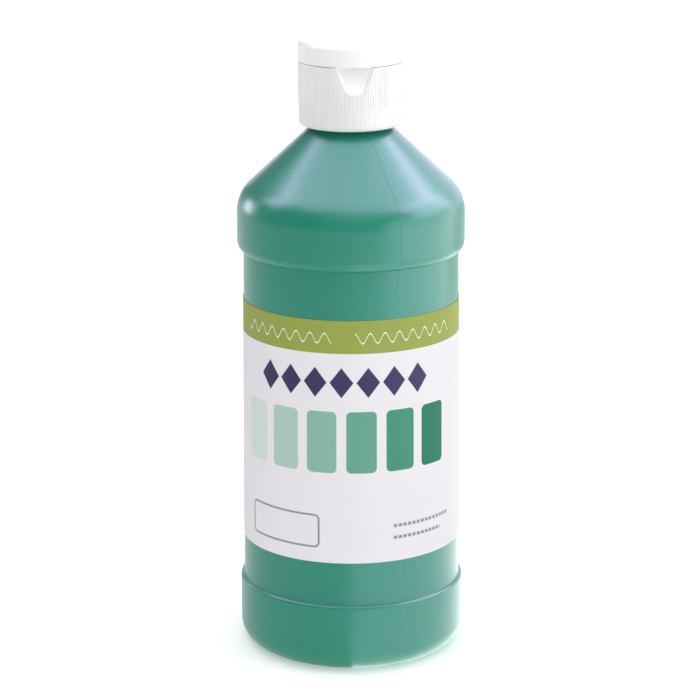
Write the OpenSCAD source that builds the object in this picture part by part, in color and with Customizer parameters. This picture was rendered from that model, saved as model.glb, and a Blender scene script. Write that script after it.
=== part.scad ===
// Squeeze bottle of poster paint with a ribbed flip-top closure.
// Millimetres. +Z is up, the base stands on z = 0, the label faces -Y.

/* [Bottle body] */
// Outside diameter of the two bumpers
body_d = 69.0; // [55:0.5:90]
// Height of the top of the lid above the table
total_h = 188.55; // [165:0.5:230]
// Nominal wall of the blown body
wall = 1.0; // [0.7:0.1:1.2]
// Thickness of the base at its standing ring
base_t = 2.2; // [1.8:0.1:3]
// Radius of the rounded base corner
base_corner = 6.9; // [5:0.1:8]
// Height of the flat step on top of the lower bumper
low_bumper_h = 21.7; // [18:0.1:26]
// Edge rounding on top of the lower bumper
low_bumper_round = 1.0; // [0.6:0.1:1.4]
// How far the panel sits inside the bumpers at its foot
panel_set_low = 1.05; // [0.8:0.05:1.6]
// How far the panel sits inside the bumpers at its top
panel_set_high = 1.85; // [1.2:0.05:2.2]
// Height of the upper bumper's straight band
up_bumper_h = 8.64; // [7:0.01:12]
// Rounding under the upper bumper
up_bumper_round = 3.36; // [2.8:0.02:4]
// Radius of the roll from upper bumper to shoulder
shoulder_roll = 12.1; // [9:0.1:14]
// Run of the shoulder cone for each unit of rise
shoulder_slope = 1.07; // [0.9:0.01:1.2]
// Rise of the hollow under the base
push_up = 3.2; // [2:0.1:4]
// Inner radius of the standing ring
stand_r = 25; // [20:0.5:26]
// Angle of the mould seam from the front
seam_angle = 25.5; // [0:0.5:45]
// Depth of the pinch-off channel across the standing ring
channel_deep = 1.2; // [0.6:0.1:1.4]
// Radius of the pinch-off channel's round section
channel_r = 11; // [8:0.5:14]

/* [Neck] */
// Outside diameter of the plain neck below its thread
neck_d = 21.5; // [20:0.1:22]
// Diameter over the thread crests
thread_d = 23.9; // [23.5:0.1:24.1]
// Bore of the neck
neck_bore = 18.9; // [17:0.1:19.2]
// Length of the neck above the shoulder cone
neck_h = 15.9; // [14:0.1:18]

/* [Label] */
// Height of the label's lower edge
label_low = 35.2; // [28:0.1:45]
// Height of the label itself
label_h = 75.1; // [50:0.1:80]
// Thickness of the label film
label_t = 0.12; // [0.08:0.01:0.2]
// Thickness of the adhesive under it
glue_t = 0.05; // [0.02:0.01:0.06]
// Bare strip left between the label's two ends at the back
label_gap = 3.0; // [1.5:0.5:8]

/* [Closure] */
// Outside diameter over the skirt ribs
cap_d = 31.5; // [31:0.1:34]
// Angle of the thumb recess from the label's centre
cap_turn = 5; // [-30:1:30]
// Height of the base part from skirt foot to rim
cap_base_h = 19.0; // [18.5:0.1:20]
// How far the threaded sleeve ends above the skirt's foot
sleeve_up = 3.0; // [2:0.1:5]
// Number of skirt ribs
rib_count = 126; // [90:2:140]
// Depth of the grooves between the ribs
rib_deep = 0.3; // [0.2:0.05:0.35]
// Plain rim above the ribs
rim_h = 0.5; // [0.4:0.1:1.2]
// Rounding at the foot of the skirt
foot_round = 1.1; // [0.8:0.1:1.4]
// Height of the fine step above the skirt foot
step_up = 7.0; // [5:0.5:9]
// Depth of the fine step
step_in = 0.2; // [0.08:0.02:0.24]
// Gap seen between the base part and the lid
part_gap = 0.25; // [0.2:0.05:0.3]
// Deck thickness over the neck
deck_t = 1.4; // [1.2:0.1:1.8]
// Thickness of the foam liner on the neck
liner_t = 0.9; // [0.7:0.1:1.1]
// Hole in the liner for the paint
liner_hole = 8.4; // [7:0.2:10]

/* [Thumb recess] */
// Width of the recess at the rim
recess_w = 13.2; // [9:0.1:14]
// Height of the recess below the rim
recess_h = 8.3; // [7:0.1:9]
// Depth of the recess at the rim
recess_deep = 2.2; // [1.6:0.1:2.3]
// Radius of the recess's round foot
recess_foot_r = 3.8; // [3:0.1:4]
// How far the recess's side walls lean for each unit of depth
recess_lean = 0.55; // [0.3:0.05:0.7]

/* [Spout and lid] */
// Bore of the spout
spout_bore = 5.0; // [4.2:0.1:5.4]
// Height of the spout above the deck
spout_h = 3.45; // [3:0.05:3.6]
// Clearance around the lid's plug in the spout
plug_gap = 0.05; // [0.05:0.01:0.08]
// How deep the plug reaches into the spout
plug_deep = 1.6; // [1.2:0.1:1.8]
// Thickness of the lid's top
lid_top_t = 1.5; // [1.2:0.1:1.6]
// Thickness of the lid's side wall
lid_wall = 1.3; // [1.1:0.1:1.4]
// Edge rounding around the lid's top
lid_round = 1.9; // [1.5:0.1:2.1]

/* [Hinge] */
// Width of the flat cut for the hinge
hinge_flat_w = 10; // [8:0.5:11]
// How far the hinge line stands behind the flat
hinge_out = 0.6; // [0.5:0.05:0.7]
// Thickness of the hinge films
film_t = 0.3; // [0.25:0.05:0.35]
// Width of each hinge film
film_w = 2.6; // [2:0.1:2.8]
// Thickness of the bowed spring strap
spring_t = 0.45; // [0.35:0.05:0.5]
// Width of the spring strap
spring_w = 3.2; // [2.6:0.1:3.4]

/* [Hidden] */
$fn = 96;
eps = 0.01;
body_r = body_d / 2;
cap_r = cap_d / 2;
lid_h = 6.25;
rim_z = total_h - lid_h - part_gap;
lid_z = rim_z + part_gap;
foot_z = rim_z - cap_base_h;
deck_z = rim_z - deck_t;
neck_top = deck_z - liner_t;
neck_r = neck_d / 2;
bore_r = neck_bore / 2;
neck_z = neck_top - neck_h;
roll_angle = atan(shoulder_slope);
roll_r = body_r - shoulder_roll;
cone_foot_r = roll_r + shoulder_roll * cos(roll_angle);
cone_foot_z = neck_z - (cone_foot_r - neck_r) / shoulder_slope;
up_top_z = cone_foot_z - shoulder_roll * sin(roll_angle);
up_low_z = up_top_z - up_bumper_h - up_bumper_round;
panel_low_r = body_r - panel_set_low;
panel_high_r = body_r - panel_set_high;
panel_fall = (panel_low_r - panel_high_r) / (up_low_z - low_bumper_h);
hollow_r = (stand_r * stand_r + push_up * push_up) / (2 * push_up);
neck_wall = neck_r - bore_r;
paint_gap = 0.1;
paint_top = neck_z - 0.6;
thread_gap = 0.2;
cap_bore_r = thread_d / 2 + thread_gap;
sleeve_t = 1.05;
skirt_t = 0.85;
shell_in_r = cap_r - rib_deep - skirt_t;
core_r = cap_bore_r + sleeve_t;
roof_z = rim_z - 2.2;
flat_h = 7.5;
liner_r = cap_bore_r - 0.55;
flat_y = sqrt(cap_r * cap_r - hinge_flat_w * hinge_flat_w / 4);
hinge_y = flat_y + hinge_out;
hinge_z = rim_z + part_gap / 2;
film_out_r = 0.95;
spring_bow = 1.66;
spring_reach = 3.3;
spring_r = (spring_reach * spring_reach + spring_bow * spring_bow) / (2 * spring_bow);
lid_in_r = cap_r - lid_wall;
lid_back_y = flat_y - 1.24;
ring_gap = 0.25;
ring_h = 1.0;
spout_top = rim_z + spout_h;
spout_foot_r = 4.3;
spout_tip_r = 3.6;
plug_r = spout_bore / 2 - plug_gap;
plug_tip_r = plug_r - 0.55;
lid_under = total_h - lid_top_t;
white = [0.93, 0.93, 0.92];
milky = [0.80, 0.86, 0.82];
green = [0.10, 0.42, 0.30];
paper = [0.95, 0.95, 0.94];
foam = [0.90, 0.90, 0.88];

// A half profile from the axis out to radius r, between two heights, with round corners.
module block(r, z0, z1, round0, round1) {
  translate([0, z0 + round0]) square([r, z1 - round1 - z0 - round0]);
  translate([0, z0]) square([r - round0, round0 + eps]);
  translate([r - round0, z0 + round0]) circle(r = round0);
  translate([0, z1 - round1 - eps]) square([r - round1, round1 + eps]);
  translate([r - round1, z1 - round1]) circle(r = round1);
}

// The body's half profile, moved inwards by a wall: 0 gives the outside.
module body_half(inset, base, neck_inset) {
  run = inset * sqrt(1 + shoulder_slope * shoulder_slope) / shoulder_slope;
  roll = shoulder_roll - inset;
  cone_r = roll_r + roll * cos(roll_angle);
  cone_z = up_top_z + roll * sin(roll_angle);
  end_r = neck_r - neck_inset;
  end_z = cone_z + (cone_r - end_r) / shoulder_slope;
  top_round = max(low_bumper_round - inset * 0.4, 0.3);
  under_round = up_bumper_round - inset;
  difference() {
    union() {
      block(body_r - inset, base, low_bumper_h - inset, base_corner - inset, top_round);
      polygon([
        [0, base_corner],
        [panel_low_r - inset, base_corner],
        [panel_low_r - inset, low_bumper_h - inset],
        [panel_high_r - inset, up_low_z],
        [panel_high_r - inset, up_low_z + up_bumper_round],
        [0, up_low_z + up_bumper_round]
      ]);
      translate([0, up_low_z + up_bumper_round]) square([body_r - inset, up_bumper_h]);
      translate([body_r - up_bumper_round, up_low_z + up_bumper_round]) circle(r = under_round);
      translate([roll_r, up_top_z]) circle(r = roll);
      polygon([
        [0, up_top_z - 1],
        [roll_r, up_top_z - 1],
        [roll_r, up_top_z],
        [cone_r, cone_z],
        [end_r, end_z],
        [0, end_z]
      ]);
    }
    translate([0, push_up - hollow_r]) circle(r = hollow_r + base);
    translate([-body_d, -1]) square([body_d, total_h]);
  }
}

// The blown bottle below its neck, with the pinch-off channel across its base.
module bottle() {
  color(milky) difference() {
    rotate_extrude() body_half(0, 0, 0);
    rotate_extrude() body_half(wall, base_t, neck_wall);
    translate([0, 0, neck_z - 2]) cylinder(r = bore_r, h = 3);
    rotate([0, 0, seam_angle]) translate([0, 0, channel_deep - channel_r])
      rotate([90, 0, 0]) cylinder(r = channel_r, h = body_d + 2, center = true);
  }
}

// The neck is one moulding with the bottle; it stands as its own solid inside the closure.
module bottle_neck() {
  color(milky) translate([0, 0, neck_z]) difference() {
    cylinder(r = neck_r, h = neck_h);
    translate([0, 0, -1]) cylinder(r = bore_r, h = neck_h + 2);
  }
}

module paint() {
  color(green) intersection() {
    rotate_extrude() body_half(wall + paint_gap, base_t + paint_gap, neck_wall + paint_gap);
    cylinder(r = body_r, h = paint_top);
  }
}

module label() {
  sweep = 360 - label_gap / panel_low_r * 180 / PI;
  low_r = panel_low_r - panel_fall * (label_low - low_bumper_h) + glue_t;
  high_r = low_r - panel_fall * label_h;
  color(paper) rotate([0, 0, 90 + (360 - sweep) / 2])
    rotate_extrude(angle = sweep) polygon([
      [low_r, label_low],
      [low_r + label_t, label_low],
      [high_r + label_t, label_low + label_h],
      [high_r, label_low + label_h]
    ]);
}

module cap_liner() {
  color(foam) translate([0, 0, neck_top]) difference() {
    cylinder(r = liner_r, h = liner_t);
    translate([0, 0, -1]) cylinder(d = liner_hole, h = liner_t + 2);
  }
}

// Star outline of the ribbed skirt, with its crests a little proud of the envelope.
module rib_star() {
  pitch = 360 / rib_count;
  root = cap_r - rib_deep;
  crest = cap_r + 0.05;
  polygon([
    for (i = [0 : rib_count - 1])
      for (k = [[-0.36, root], [-0.2, crest], [0.2, crest], [0.36, root]])
        [k[1] * cos((i + k[0]) * pitch), k[1] * sin((i + k[0]) * pitch)]
  ]);
}

// Everything the skirt may reach, as a half profile.
module skirt_envelope() {
  low_r = cap_r - step_in;
  translate([0, foot_z + foot_round]) square([low_r, step_up]);
  translate([low_r - foot_round, foot_z + foot_round]) circle(r = foot_round);
  translate([0, foot_z]) square([low_r - foot_round, foot_round + eps]);
  translate([0, foot_z + step_up]) square([cap_r, cap_base_h - step_up]);
}

// The thumb recess is a round foot and two side walls, all leaning outwards, cut off by a scoop.
module recess_cut() {
  before = 1.2;
  behind = recess_deep + 0.2;
  up = recess_h - recess_foot_r;
  half = recess_w / 2;
  side = atan2(up, half) - acos(recess_foot_r / norm([half, up]));
  out_r = recess_foot_r + before * recess_lean;
  in_r = recess_foot_r - behind * recess_lean;
  out_y = -cap_r - before;
  in_y = -cap_r + behind;
  translate([0, 0, rim_z]) intersection() {
    union() {
      translate([0, in_y, -up]) rotate([90, 0, 0])
        cylinder(r1 = in_r, r2 = out_r, h = behind + before);
      translate([0, 0, -up]) polyhedron(
        points = concat(
          recess_corners(out_r, side, up + 1, out_y),
          recess_corners(in_r, side, up + 1, in_y)
        ),
        faces = [[3, 2, 1, 0], [4, 5, 6, 7], [0, 1, 5, 4], [1, 2, 6, 5], [2, 3, 7, 6], [3, 0, 4, 7]]
      );
    }
    translate([0, recess_deep - cap_r - scoop_r(), 0]) rotate([0, 90, 0])
      cylinder(r = scoop_r(), h = cap_d, center = true);
  }
}

// Four corners of the recess between its foot and a height above it, at one depth.
function recess_corners(r, side, up, y) = let (
  foot_x = 0.998 * r * cos(side),
  foot_z = 0.998 * r * sin(side),
  top_x = (0.998 * r - up * sin(side)) / cos(side)
) [[-foot_x, y, foot_z], [foot_x, y, foot_z], [top_x, y, up], [-top_x, y, up]];

// Radius of the round scoop that starts upright at the rim and runs out at the recess's foot.
function scoop_r() = (recess_h * recess_h + recess_deep * recess_deep) / (2 * recess_deep);

// The open ring between the ribbed skirt and the threaded sleeve, shut behind recess and hinge.
module skirt_cavity() {
  difference() {
    translate([0, 0, foot_z - 1]) cylinder(r = shell_in_r, h = roof_z - foot_z + 1);
    translate([-recess_w / 2 - 0.8, -cap_r, rim_z - recess_h - 0.9])
      cube([recess_w + 1.6, cap_r, recess_h + 2]);
    translate([-hinge_flat_w / 2 - 0.8, 0, rim_z - flat_h - 1])
      cube([hinge_flat_w + 1.6, cap_r, flat_h + 3]);
  }
}

// The closure's outside: ribs, rim, thumb recess, hinge flat and the ring that the lid shuts over.
module cap_skirt() {
  color(white) rotate([0, 0, cap_turn]) difference() {
    union() {
      intersection() {
        union() {
          translate([0, 0, foot_z - 1]) linear_extrude(height = cap_base_h - rim_h + 1) rib_star();
          translate([0, 0, rim_z - rim_h]) cylinder(r = cap_r, h = rim_h);
        }
        rotate_extrude() skirt_envelope();
      }
      intersection() {
        translate([0, 0, rim_z - 0.5]) cylinder(r = lid_in_r - ring_gap, h = ring_h + 0.5);
        translate([-cap_r, -cap_r, rim_z - 1]) cube([cap_d, cap_r + lid_back_y - ring_gap, 3]);
      }
    }
    translate([0, 0, foot_z - 1]) cylinder(r = core_r, h = cap_base_h + ring_h + 2);
    skirt_cavity();
    recess_cut();
    translate([-cap_r, flat_y, rim_z - flat_h]) cube([cap_d, cap_r, flat_h + 2]);
  }
}

// The closure's inside: the deck over the neck, its spout and the threaded sleeve.
module cap_core() {
  color(white) rotate([0, 0, cap_turn]) difference() {
    union() {
      translate([0, 0, foot_z + sleeve_up]) cylinder(r = core_r, h = cap_base_h - sleeve_up);
      translate([0, 0, rim_z - 0.5])
        cylinder(r1 = spout_foot_r, r2 = spout_tip_r, h = spout_h + 0.5);
    }
    translate([0, 0, foot_z - 1]) cylinder(r = cap_bore_r, h = deck_z - foot_z + 1);
    translate([0, 0, deck_z - 1]) cylinder(d = spout_bore, h = deck_t + spout_h + 2);
  }
}

// Outside of the lid as a half profile.
module lid_half() {
  translate([0, lid_z]) square([cap_r, lid_h - lid_round]);
  translate([0, total_h - lid_round - eps]) square([cap_r - lid_round, lid_round + eps]);
  translate([cap_r - lid_round, total_h - lid_round]) circle(r = lid_round);
}

module lid() {
  color(white) rotate([0, 0, cap_turn]) difference() {
    union() {
      difference() {
        rotate_extrude() lid_half();
        intersection() {
          translate([0, 0, lid_z - 1]) cylinder(r = lid_in_r, h = lid_under - lid_z + 1);
          translate([-cap_r, -cap_r, lid_z - 2]) cube([cap_d, cap_r + lid_back_y, lid_h + 2]);
        }
      }
      translate([0, 0, spout_top]) cylinder(r = plug_r, h = lid_under - spout_top + 0.3);
      translate([0, 0, spout_top - plug_deep])
        cylinder(r1 = plug_tip_r, r2 = plug_r, h = plug_deep);
    }
    translate([0, 0, spout_top - plug_deep - 1]) cylinder(r = 1.2, h = plug_deep + 1.8);
    translate([-cap_r, flat_y, lid_z - 1]) cube([cap_d, cap_r, lid_h + 2]);
  }
}

// One film of the living hinge, folded round the hinge line.
module hinge_film(x) {
  color(white) rotate([0, 0, cap_turn]) translate([x - film_w / 2, hinge_y, hinge_z])
    rotate([90, 0, 90]) linear_extrude(height = film_w) difference() {
      union() {
        circle(r = film_out_r);
        translate([-hinge_out, -film_out_r]) square([hinge_out, film_out_r * 2]);
      }
      circle(r = film_out_r - film_t);
      translate([-hinge_out - 1, -film_out_r + film_t])
        square([hinge_out + 1, (film_out_r - film_t) * 2]);
      translate([-hinge_out - 2, -2]) square([2, 4]);
    }
}

module hinge_film_left() {
  hinge_film(-hinge_flat_w / 2 + film_w / 2 + 0.1);
}

module hinge_film_right() {
  hinge_film(hinge_flat_w / 2 - film_w / 2 - 0.1);
}

module hinge_spring() {
  color(white) rotate([0, 0, cap_turn]) translate([-spring_w / 2, 0, hinge_z])
    rotate([90, 0, 90]) linear_extrude(height = spring_w) intersection() {
      translate([flat_y + spring_bow - spring_r, 0]) difference() {
        circle(r = spring_r);
        circle(r = spring_r - spring_t);
      }
      translate([flat_y, -spring_r]) square([spring_r, spring_r * 2]);
    }
}

bottle();
bottle_neck();
paint();
label();
cap_liner();
cap_core();
cap_skirt();
lid();
hinge_film_left();
hinge_film_right();
hinge_spring();
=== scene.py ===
# %% [markdown]
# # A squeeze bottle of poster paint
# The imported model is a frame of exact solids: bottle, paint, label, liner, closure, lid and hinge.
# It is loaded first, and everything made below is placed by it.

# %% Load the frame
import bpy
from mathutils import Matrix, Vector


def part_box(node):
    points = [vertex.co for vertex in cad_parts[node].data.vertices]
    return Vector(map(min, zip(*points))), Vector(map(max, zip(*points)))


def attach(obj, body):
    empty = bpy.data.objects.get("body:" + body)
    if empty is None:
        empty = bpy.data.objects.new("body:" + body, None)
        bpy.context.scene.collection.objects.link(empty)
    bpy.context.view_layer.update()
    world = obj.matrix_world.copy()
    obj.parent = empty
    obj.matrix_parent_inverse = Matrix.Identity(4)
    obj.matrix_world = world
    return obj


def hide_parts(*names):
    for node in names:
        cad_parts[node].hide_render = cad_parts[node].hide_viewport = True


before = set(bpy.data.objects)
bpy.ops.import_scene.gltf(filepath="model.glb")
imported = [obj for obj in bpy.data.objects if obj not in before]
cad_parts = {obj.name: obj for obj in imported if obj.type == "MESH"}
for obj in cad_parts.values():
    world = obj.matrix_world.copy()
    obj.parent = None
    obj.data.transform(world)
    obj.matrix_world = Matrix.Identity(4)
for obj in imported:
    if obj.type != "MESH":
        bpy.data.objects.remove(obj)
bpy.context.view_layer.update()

import math

import bmesh
import bpy
from mathutils import Vector

MM = 0.001

# %% [markdown]
# ## Sizes shared by the pieces
# The bottle is round, so nearly every piece is a turned profile. The sizes that a profile needs are
# the same ones the solids are built from. Where a height can be read from the frame, it is.

# %% Sizes in millimetres
body_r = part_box("bottle")[1][0] / MM
neck_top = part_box("bottle_neck")[1][2] / MM
panel_low_r = body_r - 1.05
panel_high_r = body_r - 1.85
low_bumper_h = 21.7
up_low_z = 124.4
up_round = 3.36
up_top_z = 136.4
roll = 12.1
slope = 1.07
neck_r = 10.75
bore_r = 9.45
neck_z = neck_top - 15.9
wall = 1.0
base_t = 2.2
corner_r = 6.9
stand_r = 25.0
push_up = 3.2
seam_angle = math.radians(25.5)
thread_pitch = 4.233
liner_t = 0.9
deck_t = 1.4
rim_z = neck_top + liner_t + deck_t
closure_turn = math.radians(5)
label_low, label_high = [corner[2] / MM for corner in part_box("label")]
print("body radius", round(body_r, 2), "label from", round(label_low, 2), "to", round(label_high, 2))

# %% [markdown]
# ## A lathe
# A bottle could be a subdivided cylinder that is scaled ring by ring. A turned profile is better,
# because each fillet is then an arc with its true radius. One vertex is extruded along the profile,
# and the line is spun about the upright axis. Poles and the seam are merged, and then the normals
# are made consistent.

# %% Helpers for selecting and turning
def arc(centre, radius, start, stop, count):
    """Points on an arc, in degrees from +X, both ends included."""
    steps = [math.radians(start + (stop - start) * i / count) for i in range(count + 1)]
    return [(centre[0] + radius * math.cos(a), centre[1] + radius * math.sin(a)) for a in steps]


def clear_selection():
    if bpy.context.object and bpy.context.object.mode != "OBJECT":
        bpy.ops.object.mode_set(mode="OBJECT")
    bpy.ops.object.select_all(action="DESELECT")


def draw_line(name, points, closed):
    """One vertex is extruded from point to point in the XZ plane. Millimetres."""
    clear_selection()
    first = Vector((points[0][0], 0, points[0][1])) * MM
    bpy.ops.mesh.primitive_plane_add(size=MM, location=first)
    piece = bpy.context.object
    piece.name = name
    bpy.ops.object.transform_apply(location=True)
    bpy.ops.object.mode_set(mode="EDIT")
    bpy.ops.mesh.select_all(action="SELECT")
    bpy.ops.mesh.merge(type="CENTER")
    for before, after in zip(points, points[1:]):
        move = ((after[0] - before[0]) * MM, 0, (after[1] - before[1]) * MM)
        bpy.ops.mesh.extrude_region_move(TRANSFORM_OT_translate={"value": move})
    if closed:
        mesh = bmesh.from_edit_mesh(piece.data)
        for vert in mesh.verts:
            vert.select_set(len(vert.link_edges) < 2)
        mesh.select_flush(False)
        bmesh.update_edit_mesh(piece.data)
        bpy.ops.mesh.edge_face_add()
    return piece


def close_up(piece, smooth_angle=35):
    """Merges doubles, fills open ends, turns the normals outwards and sets smooth shading."""
    bpy.ops.mesh.select_all(action="SELECT")
    bpy.ops.mesh.remove_doubles(threshold=0.002 * MM)
    bpy.ops.mesh.select_all(action="SELECT")
    bpy.ops.mesh.fill_holes(sides=12)
    bpy.ops.mesh.select_all(action="SELECT")
    bpy.ops.mesh.normals_make_consistent(inside=False)
    bpy.ops.object.mode_set(mode="OBJECT")
    bpy.ops.object.shade_smooth_by_angle(angle=math.radians(smooth_angle))
    return piece


def turn(name, points, steps, angle=math.tau, closed=False, start=0.0):
    piece = draw_line(name, points, closed)
    bpy.ops.mesh.select_all(action="SELECT")
    bpy.ops.mesh.spin(steps=steps, angle=angle, center=(0, 0, 0), axis=(0, 0, 1))
    close_up(piece)
    piece.rotation_euler.z = start
    bpy.ops.object.transform_apply(rotation=True)
    print(name, len(piece.data.polygons), "faces")
    return piece


# %% [markdown]
# ## The bottle
# The real bottle is blow moulded: a soft tube of plastic is pinched in a two-part mould and blown out
# against it. Its wall is about a millimetre all over, so the inside follows the outside. The same
# profile is therefore drawn twice, once at the outside and once moved in by the wall.

# %% The body's profile
def straight(start, stop, shares):
    """Points between two others, at the given shares of the way."""
    return [(start[0] + (stop[0] - start[0]) * s, start[1] + (stop[1] - start[1]) * s) for s in shares]


def body_profile(inset):
    """Half profile from the middle of the base to the top of the neck."""
    small_round = 0.25
    base = base_t if inset else 0.0
    hollow = (stand_r**2 + push_up**2) / (2 * push_up)
    top_round = max(1.0 - inset * 0.4, 0.3)
    under = up_round - inset
    cut = math.degrees(math.acos((panel_high_r - body_r + up_round - inset) / under))
    tip = math.degrees(math.atan(slope))
    low_top = low_bumper_h - inset
    roll_points = arc((body_r - roll, up_top_z), roll - inset, 0, tip, 28)
    end_r = bore_r if inset else neck_r
    run_out = roll_points[-1][1] + (roll_points[-1][0] - end_r) / slope
    dome_z = push_up + base - hollow
    points = [(r, dome_z + math.sqrt(hollow**2 - r**2)) for r in (0, 5, 10, 15, 20, 23)]
    points += [(stand_r, base), (stand_r + 1.2, base)]
    points += arc((body_r - corner_r, corner_r), corner_r - inset, -90, 0, 20)
    points += arc((body_r - inset - top_round, low_top - top_round), top_round, 0, 90, 8)
    points += arc((panel_low_r - inset + small_round, low_top + small_round), small_round, 270, 180, 4)
    share = [i / 24 for i in range(1, 24)]
    fillet = arc((body_r - up_round, up_low_z + up_round), under, -cut, 0, 16)
    foot = (panel_low_r - inset, low_top + small_round)
    points += straight(foot, fillet[0], share)
    points += fillet + [(body_r - inset, up_low_z + up_round + 4)] + roll_points
    points += straight(roll_points[-1], (end_r, run_out), share[::2])
    points += [(end_r + 0.35, run_out - 0.33), (end_r + 0.08, run_out - 0.02), (end_r, run_out + 0.4)]
    return points


lip = [(neck_r, neck_top - 0.4), (neck_r - 0.12, neck_top - 0.1), (neck_r - 0.4, neck_top)]
outside = body_profile(0) + lip
inside = [(bore_r + 0.3, neck_top), (bore_r, neck_top - 0.3)] + body_profile(wall)[::-1]
print(len(outside), "points outside,", len(inside), "inside")

# %% Turn the bottle
bottle = turn("Bottle_Body", outside + inside, steps=240)

# %% [markdown]
# ## The pinch-off channel
# Where the mould halves meet under the base, they pinch the tube shut in a shallow channel that runs
# across the standing ring, so the seam's flash never touches the table. It is one cut with a large
# round bar, made with a boolean as a modeller would.

# %% Cut the channel
clear_selection()
channel_r, channel_deep = 11.0, 1.2
bpy.ops.mesh.primitive_cylinder_add(vertices=160, radius=channel_r * MM, depth=76 * MM,
                                    location=(0, 0, (channel_deep - channel_r) * MM),
                                    rotation=(math.pi / 2, 0, seam_angle))
bar = bpy.context.object
clear_selection()
bottle.select_set(True)
bpy.context.view_layer.objects.active = bottle
bpy.ops.object.modifier_add(type="BOOLEAN")
cut = bottle.modifiers[-1]
cut.object, cut.operation, cut.solver = bar, "DIFFERENCE", "EXACT"
bpy.ops.object.modifier_apply(modifier=cut.name)
bpy.data.objects.remove(bar)
bpy.ops.object.shade_smooth_by_angle(angle=math.radians(35))
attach(bottle, "bottle")
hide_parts("bottle", "bottle_neck")
print("bottle after the cut:", len(bottle.data.polygons), "faces")


# %% [markdown]
# ## The mould seam
# The two mould halves leave a fine raised line down each side, where a hair of plastic creeps between
# them. It is a strip three tenths of a millimetre wide that follows the outside profile, bedded in the
# wall so that only its crest stands proud. Its plastic is painted paler, a painted highlight along the
# ridge.

# %% Raise the seam
seam_w, seam_proud, seam_bed = 0.3, 0.09, 0.15


def seam(name, turned):
    clear_selection()
    path = [p for p in outside if p[0] > stand_r + 4 and p[1] > 2.0 or p[1] > low_bumper_h]
    path = [p for p in path if p[1] < neck_z - 0.6]
    steps = list(zip(path, path[1:]))
    slopes = [Vector((b[1] - a[1], a[0] - b[0])).normalized() for a, b in steps]
    normals = [slopes[0]] + [(p + q).normalized() for p, q in zip(slopes, slopes[1:])] + [slopes[-1]]
    ridge = [(p[0] + n[0] * seam_proud, p[1] + n[1] * seam_proud) for p, n in zip(path, normals)]
    root = [(p[0] - n[0] * seam_bed, p[1] - n[1] * seam_bed) for p, n in zip(path, normals)]
    piece = draw_line(name, ridge + root[::-1], closed=True)
    bpy.ops.mesh.select_all(action="SELECT")
    bpy.ops.mesh.extrude_region_move(TRANSFORM_OT_translate={"value": (0, seam_w * MM, 0)})
    close_up(piece, 60)
    piece.rotation_euler.z = turned
    bpy.ops.object.transform_apply(rotation=True)
    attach(piece, "bottle")
    print(name, len(piece.data.polygons), "faces")
    return piece


seams = [seam("Seam_Front", seam_angle - math.pi / 2),
         seam("Seam_Back", seam_angle + math.pi / 2)]

# %% [markdown]
# ## Threads
# A thread is a ridge that climbs as it goes round. The Screw modifier sweeps a closed outline in
# just that way. The neck's ridge and the closure's ridge have the same pitch, half a pitch apart,
# so they pass each other as the closure unscrews.

# %% Sweep a thread
def thread(name, root_r, crest_r, start_z, turns, start_angle):
    half_root, half_crest = 1.0, 0.55
    outline = [(root_r, start_z - half_root), (crest_r, start_z - half_crest),
               (crest_r, start_z + half_crest), (root_r, start_z + half_root)]
    piece = draw_line(name, outline, closed=True)
    bpy.ops.object.mode_set(mode="OBJECT")
    bpy.ops.object.modifier_add(type="SCREW")
    sweep = piece.modifiers[-1]
    sweep.angle, sweep.screw_offset, sweep.iterations = math.tau * turns, thread_pitch * turns * MM, 1
    sweep.steps = sweep.render_steps = round(96 * turns)
    sweep.use_merge_vertices = False
    bpy.ops.object.modifier_apply(modifier=sweep.name)
    bpy.ops.object.mode_set(mode="EDIT")
    close_up(piece)
    piece.rotation_euler.z = start_angle
    bpy.ops.object.transform_apply(rotation=True)
    return piece


thread_start, thread_angle = neck_z + 4.6, math.radians(-60)
neck_thread = thread("Neck_Thread", neck_r - 0.2, 11.95, thread_start, 1.5, thread_angle)
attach(neck_thread, "bottle")
cap_thread = thread("Closure_Thread", 12.35, 11.1, thread_start - thread_pitch / 2, 1.6, thread_angle)
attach(cap_thread, "closure")
print("threads:", [len(t.data.polygons) for t in (neck_thread, cap_thread)], "faces")

# %% [markdown]
# ## The label
# The label is one film wrapped round the panel, with a bare strip between its ends at the back. It
# is a thin closed outline turned almost all the way round, so it has true thickness at its edges.

# %% Wrap the label
def panel_r(z):
    share = (z - low_bumper_h) / (up_low_z - low_bumper_h)
    return panel_low_r + (panel_high_r - panel_low_r) * share


glue, film, gap = 0.05, 0.12, 3.0
low_r, high_r = panel_r(label_low) + glue, panel_r(label_high) + glue
label_outline = [(low_r, label_low), (low_r + film, label_low),
                 (high_r + film, label_high), (high_r, label_high)]
gap_angle = gap / panel_low_r
label = turn("Label_Film", label_outline, steps=240, angle=math.tau - gap_angle, closed=True,
             start=math.pi / 2 + gap_angle / 2)
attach(label, "bottle")
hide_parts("label")

# %% [markdown]
# ## Shader sums as expressions
# A printed pattern or a finish is arithmetic on the place of a point. One small class wraps a socket,
# so that sums can be written as sums, and one method adds any other node.

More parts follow.
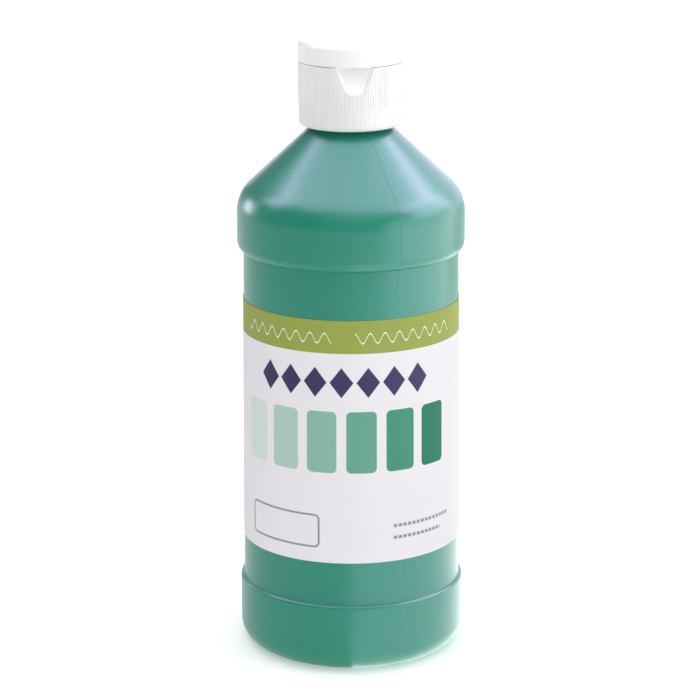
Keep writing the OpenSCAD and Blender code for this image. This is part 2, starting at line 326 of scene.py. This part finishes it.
# %% Wires and boards
class Wire:
    """A socket that can stand in a sum."""

    def __init__(self, board, socket):
        self.board, self.socket = board, socket

    def sum(self, operation, a, b):
        return self.board.node("ShaderNodeMath", {"operation": operation}, {0: a, 1: b})

    def __add__(self, other): return self.sum("ADD", self, other)
    def __radd__(self, other): return self.sum("ADD", other, self)
    def __sub__(self, other): return self.sum("SUBTRACT", self, other)
    def __rsub__(self, other): return self.sum("SUBTRACT", other, self)
    def __mul__(self, other): return self.sum("MULTIPLY", self, other)
    def __rmul__(self, other): return self.sum("MULTIPLY", other, self)
    def __abs__(self): return self.board.node("ShaderNodeMath", {"operation": "ABSOLUTE"}, {0: self})
    def most(self, other): return self.sum("MAXIMUM", self, other)
    def least(self, other): return self.sum("MINIMUM", self, other)


class Board:
    """A material with one Principled shader."""

    def __init__(self, name):
        self.material = bpy.data.materials.new(name)
        self.material.use_nodes = True
        self.tree = self.material.node_tree
        self.shader = self.tree.nodes["Principled BSDF"]

    def node(self, kind, settings=None, inputs=None, output=0):
        made = self.tree.nodes.new(kind)
        for key, value in (settings or {}).items():
            setattr(made, key, value)
        for key, value in (inputs or {}).items():
            self.plug(made.inputs[key], value)
        return Wire(self, made.outputs[output])

    def plug(self, socket, value):
        if isinstance(value, Wire):
            self.tree.links.new(value.socket, socket)
        else:
            socket.default_value = value

    def set(self, **values):
        for key, value in values.items():
            self.plug(self.shader.inputs[key.replace("_", " ")], value)

    def place(self):
        """x, y and z of the point, in millimetres."""
        spot = self.node("ShaderNodeTexCoord", output=3)
        cut = self.node("ShaderNodeSeparateXYZ", None, {0: spot})
        parts = [Wire(self, cut.socket.node.outputs[i]) * 1000 for i in range(3)]
        return parts, spot

    def noise(self, spot, scale, detail=2.0):
        return self.node("ShaderNodeTexNoise", None, {"Vector": spot, "Scale": scale, "Detail": detail})

    def mix(self, share, a, b):
        return self.node("ShaderNodeMix", {"data_type": "RGBA"}, {0: share, 6: a, 7: b}, output=2)

    def bump(self, height, strength, distance):
        return self.node("ShaderNodeBump", None,
                         {"Height": height, "Strength": strength, "Distance": distance})


def srgb(r, g, b):
    """A colour given as it looks on a screen, 0 to 255."""
    parts = [v / 255 for v in (r, g, b)]
    return tuple(p / 12.92 if p <= 0.04045 else ((p + 0.055) / 1.055) ** 2.4 for p in parts) + (1.0,)


def dress(piece, board):
    piece.data.materials.clear()
    piece.data.materials.append(board.material)


# %% [markdown]
# ## Milky plastic with paint behind it
# The bottle is natural HDPE, which is milky, and the paint inside colours it. Light goes a little way
# in, so the colour is a soft green that thins to grey-white on the neck, where there is no paint. The
# mould leaves a satin skin with a fine orange-peel.

# %% Bottle plastic
def hdpe(name="natural_hdpe", highlight_lift=0):
    board = Board(name)
    (x, y, z), spot = board.place()
    cloud = board.noise(spot, 22, 3)
    # Raising the green by a number of levels paints it paler; the seam's plastic uses this as a painted
    # highlight.
    deep, light = srgb(20 + highlight_lift, 136 + highlight_lift, 108 + highlight_lift), srgb(36 + highlight_lift, 144 + highlight_lift, 116 + highlight_lift)
    green = board.mix(cloud, deep, light)
    milk = srgb(206, 220, 212)
    above = board.node("ShaderNodeMapRange", {"interpolation_type": "SMOOTHSTEP"},
                       {"Value": z, "From Min": neck_z - 1.5, "From Max": neck_z + 2.0})
    board.set(Base_Color=board.mix(above, green, milk))
    peel = board.noise(spot, 900, 2)
    grain = board.noise(spot, 90, 2)
    board.set(Roughness=0.27 + grain * 0.06, Normal=board.bump(peel * 0.6 + grain, 0.08, 0.0004))
    board.set(Subsurface_Weight=0.12, Subsurface_Radius=(0.004, 0.004, 0.004), Subsurface_Scale=1.0)
    board.set(IOR=1.5, Specular_IOR_Level=0.5, Specular_Tint=(0.88, 0.64, 1.0, 1.0))
    return board


plastic = hdpe()
dress(bottle, plastic)
dress(neck_thread, plastic)
# The seam's plastic is painted paler: a painted highlight along the ridge.
seam_highlight_plastic = hdpe("natural_hdpe_seam_highlight", highlight_lift=26)
for piece in seams:
    dress(piece, seam_highlight_plastic)
print("bottle plastic:", len(plastic.tree.nodes), "shader nodes")

# %% [markdown]
# ## The closure's plastic
# The closure is white polypropylene with a satin mould finish. A bump could darken the grooves between
# the ribs, but they are finer than a picture of the whole bottle shows, so they are a shade greyer
# instead. The foam liner and the paint inside have plain finishes of their own. The exact solids keep
# their own meshes and only get these finishes.

# %% White plastic, foam and paint
def white_plastic():
    board = Board("white_pp")
    spot = board.place()[1]
    fine = board.noise(spot, 1400, 2)
    broad = board.noise(spot, 60, 2)
    board.set(Base_Color=board.mix(broad, srgb(247, 247, 247), srgb(252, 252, 251)))
    board.set(Roughness=0.34 + fine * 0.1, Normal=board.bump(fine, 0.1, 0.0002))
    board.set(Subsurface_Weight=0.15, Subsurface_Radius=(0.002, 0.002, 0.002), Subsurface_Scale=1.0)
    return board


def foam():
    board = Board("foam")
    spot = board.place()[1]
    cells = board.node("ShaderNodeTexVoronoi", None, {"Vector": spot, "Scale": 2500})
    board.set(Base_Color=board.mix(cells, srgb(225, 225, 222), srgb(240, 240, 238)), Roughness=0.8,
              Normal=board.bump(cells, 0.3, 0.0002))
    return board


def wet_paint():
    board = Board("paint")
    spot = board.place()[1]
    swirl = board.noise(spot, 60, 4)
    board.set(Base_Color=board.mix(swirl, srgb(22, 110, 76), srgb(34, 128, 92)),
              Roughness=0.2 + swirl * 0.05)
    return board


ribs = 126
groove_foot_r = 15.3
plain_rim = 0.5
step_below_rim = 12.0


def ribbed_plastic():
    """The same plastic on the skirt, a shade greyer down in the grooves, where less light reaches."""
    board = white_plastic()
    x, y, z = board.place()[0]
    angle = board.node("ShaderNodeMath", {"operation": "ARCTAN2"}, {0: y, 1: x})
    rib = board.node("ShaderNodeMath", {"operation": "COSINE"}, {0: (angle - closure_turn) * ribs})
    below = board.node("ShaderNodeMath", {"operation": "LESS_THAN"}, {0: z, 1: rim_z - plain_rim})
    outer = board.node("ShaderNodeMath", {"operation": "GREATER_THAN"},
                       {0: (x * x + y * y), 1: groove_foot_r**2})
    low = board.node("ShaderNodeMath", {"operation": "LESS_THAN"}, {0: z, 1: rim_z - step_below_rim})
    # Painted shade: the grooves are greyer where less light reaches, and a little greyer still below
    # the step.
    groove_shade = (0.5 - rib * 0.5) * below * outer * (0.34 + low * 0.1)
    board.set(Base_Color=board.mix(groove_shade, srgb(250, 250, 249), srgb(202, 203, 205)))
    return board


white = white_plastic()
finishes = {"cap_skirt": ribbed_plastic(), "cap_liner": foam(), "paint": wet_paint()}
for node_name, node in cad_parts.items():
    dress(node, finishes.get(node_name, white))
dress(cap_thread, white)
print("finishes of their own:", ", ".join(sorted(finishes)))


# %% [markdown]
# ## The printed label
# The print is a plain pattern: a band with a wavy line, a row of dark diamonds, a row of equal bars in
# one green from pale to dark, an empty grey frame, and grey dotted rules, two in front and five on
# each side at the back. There is no lettering. Every mark is a distance sum on two numbers: how far
# round the label a point is, and how high.

# %% Marks
print_r = 33.4


class Print(Board):
    """The label's print. across and up are in millimetres."""

    def __init__(self):
        super().__init__("label_film")
        (x, y, z), self.spot = self.place()
        angle = self.node("ShaderNodeMath", {"operation": "ARCTAN2"}, {0: x, 1: y * -1})
        self.across, self.up = angle * print_r, z
        self.ink = srgb(238, 236, 239)

    def solid(self, distance, soft=0.16):
        """1 inside a mark, 0 outside, with a short edge."""
        return self.node("ShaderNodeMath", {"operation": "MULTIPLY_ADD", "use_clamp": True},
                         {0: distance, 1: -1 / soft, 2: 0.5})

    def box(self, centre, half, radius, across=None):
        """Distance to a rounded rectangle."""
        side = abs((self.across if across is None else across) - centre[0]) - (half[0] - radius)
        rise = abs(self.up - centre[1]) - (half[1] - radius)
        out = self.node("ShaderNodeCombineXYZ", None, {0: side.most(0), 1: rise.most(0)})
        far = self.node("ShaderNodeVectorMath", {"operation": "LENGTH"}, {0: out}, output=1)
        return far + side.most(rise).least(0) - radius

    def wave(self, length, height):
        turned = self.across * (math.tau / length)
        return self.node("ShaderNodeMath", {"operation": "SINE"}, {0: turned}) * height

    def paint(self, mask, colour):
        self.ink = self.mix(mask, self.ink, colour)


olive, cream, indigo = srgb(154, 168, 80), srgb(244, 243, 226), srgb(66, 58, 96)
grey = srgb(96, 92, 104)
tints = [srgb(*tint) for tint in ((214, 230, 221), (178, 208, 194), (140, 187, 168),
                                  (104, 167, 144), (68, 147, 120), (36, 120, 95))]


# %% Lay the print out
band_low, wave_mid = 100.3, 104.9
diamond_mid, diamond_pitch, row_half = 91.4, 8.1, 28.3
first_bar, bar_pitch = -33.5, 12.2


def label_print():
    board = Print()
    board.paint(board.solid(band_low - board.up), olive)
    lines = board.solid(abs(board.up - wave_mid - board.wave(4.6, 1.5)) - 0.22)
    left = board.solid(abs(board.across + 22.4) - 16.4)
    right = board.solid(abs(board.across - 18.4) - 17.2)
    board.paint(lines * (left + right), cream)
    half_pitch = diamond_pitch / 2
    shifted = board.node("ShaderNodeMath", {"operation": "PINGPONG"},
                         {0: board.across + 31.3, 1: half_pitch})
    rhomb = abs(board.up - diamond_mid) * 0.78 + (half_pitch - shifted) - 3.6
    row = board.solid(abs(board.across + 3.0) - row_half)
    board.paint(board.solid(rhomb) * row, indigo)
    for i, tint in enumerate(tints):
        bar = board.box((first_bar + i * bar_pitch, 73.0), (4.6, 9.5), 1.5)
        board.paint(board.solid(bar), tint)
    empty = board.box((-23.0, 45.0), (13.0, 5.0), 1.5)
    board.paint(board.solid(abs(empty) - 0.3) * 0.75, grey)
    beads = board.node("ShaderNodeMath", {"operation": "PINGPONG"}, {0: board.across, 1: 0.8})
    for centre, half, height in ((24.0, 11.4, 46.3), (21.8, 9.2, 42.6)):
        rule = board.box((centre, height), (half, 0.5), 0.2)
        board.paint(board.solid(rule) * board.solid(0.22 - beads) * 0.75, grey)
    for i in range(5):
        rule = board.box((72.0, 84.0 - i * 5.0), (19.0, 0.45), 0.2, across=abs(board.across))
        board.paint(board.solid(rule) * board.solid(0.22 - beads) * 0.6, grey)
    fine = board.noise(board.spot, 700, 2)
    board.set(Specular_IOR_Level=0.12)
    board.set(Base_Color=board.ink, Roughness=0.56 + fine * 0.06,
              Normal=board.bump(fine, 0.03, 0.0002))
    return board


printed = label_print()
dress(label, printed)
print("print nodes:", len(printed.tree.nodes))

# %% [markdown]
# ## Floor, light and camera
# The bottle stands on a plain pale floor that glows a little, so that it reads as white. One big soft
# lamp overhead and one in front light it evenly, and a small one lifts the closure. The other lamps
# only show as soft reflections on the satin plastic: a streak down each side of the cone, a spot on
# the shoulder's roll and a veil over the right-hand half, a little blue as daylight is.

# %% Floor and lamps
clear_selection()
bpy.ops.mesh.primitive_plane_add(size=14, location=(0, 0, -0.0002))
floor = bpy.context.object
floor.name = "Floor"
ground = Board("floor")
ground.set(Base_Color=(0.9, 0.9, 0.9, 1), Roughness=0.9)
ground.set(Emission_Color=(1, 1, 1, 1), Emission_Strength=0.35)
dress(floor, ground)


def lamp(name, place, target, width, height, power, colour=(1.0, 1.0, 1.0)):
    light = bpy.data.lights.new(name, "AREA")
    light.shape, light.size, light.size_y, light.energy = "RECTANGLE", width, height, power
    light.color = colour
    made = bpy.data.objects.new(name, light)
    bpy.context.scene.collection.objects.link(made)
    made.location = place
    made.rotation_euler = (Vector(target) - Vector(place)).to_track_quat("-Z", "Y").to_euler()
    return made


lamp("Ceiling", (0, 0.8, 3.0), (0, 0.8, 0), 5.0, 5.0, 78)
front = lamp("Front", (0.0, -1.1, 0.8), (0, 0, 0.12), 0.8, 0.8, 4.4)
front.visible_glossy = False
lamp("Right", (0.35, -0.05, 0.6), (0, 0, 0.17), 0.4, 0.4, 0.2)
upper = lamp("Closure_Key", (0.32, -0.12, 0.4), (0, 0, 0.176), 0.15, 0.15, 0.03)
upper.data.spread = math.radians(45)
upper.visible_glossy = False
sheens = [
    lamp("Over_Gloss", (0.3, 0.1, 1.2), (0.3, 0.1, 0), 2.4, 1.8, 56, (0.8, 0.7, 1.0)),
    lamp("Back_Gloss", (0.5, 1.3, 0.75), (0, 0, 0.15), 2.6, 1.5, 27, (0.82, 0.72, 1.0)),
    lamp("Right_High", (0.831, 0.117, 0.695), (0, 0, 0.15), 0.9, 0.6, 13, (0.86, 0.8, 1.0)),
    lamp("Left_High", (-0.746, 0.172, 0.8), (0, 0, 0.15), 0.4, 0.4, 4.2, (0.84, 0.78, 1.0)),
    lamp("Left_Low", (-0.55, 0.4, 0.21), (0, 0, 0.15), 0.16, 0.16, 1.0, (0.9, 0.86, 1.0)),
    lamp("Right_Gloss", (0.45, -0.08, 0.16), (0, 0, 0.16), 0.9, 0.32, 3.0),
    lamp("Table_Gloss", (0.25, -0.1, -0.0001), (0.25, -0.1, 1), 0.5, 0.7, 2.0),
    lamp("Front_Gloss", (0.15, -0.9, 1.05), (0, 0, 0.15), 0.9, 0.5, 2.7, (0.85, 0.8, 1.0)),
]
for sheen in sheens:
    sheen.visible_diffuse = False
    sheen.visible_camera = False
print("reflection lamps:", ", ".join(sheen.name for sheen in sheens))

world = bpy.data.worlds.new("Studio")
bpy.context.scene.world = world
world.use_nodes = True
world.node_tree.nodes["Background"].inputs["Color"].default_value = (1, 1, 1, 1)
world.node_tree.nodes["Background"].inputs["Strength"].default_value = 0.2

bpy.context.scene.view_settings.view_transform = "Standard"

# %% Camera
camera_data = bpy.data.cameras.new("Camera")
camera_data.lens, camera_data.sensor_width = 138.86, 36
camera = bpy.data.objects.new("Camera", camera_data)
bpy.context.scene.collection.objects.link(camera)
camera.location = (0.0001, -0.7991, 0.3102)
camera.rotation_euler = (math.radians(90 - 15.233), math.radians(0.12), 0)
bpy.context.scene.camera = camera
print("camera lens in mm:", camera_data.lens)
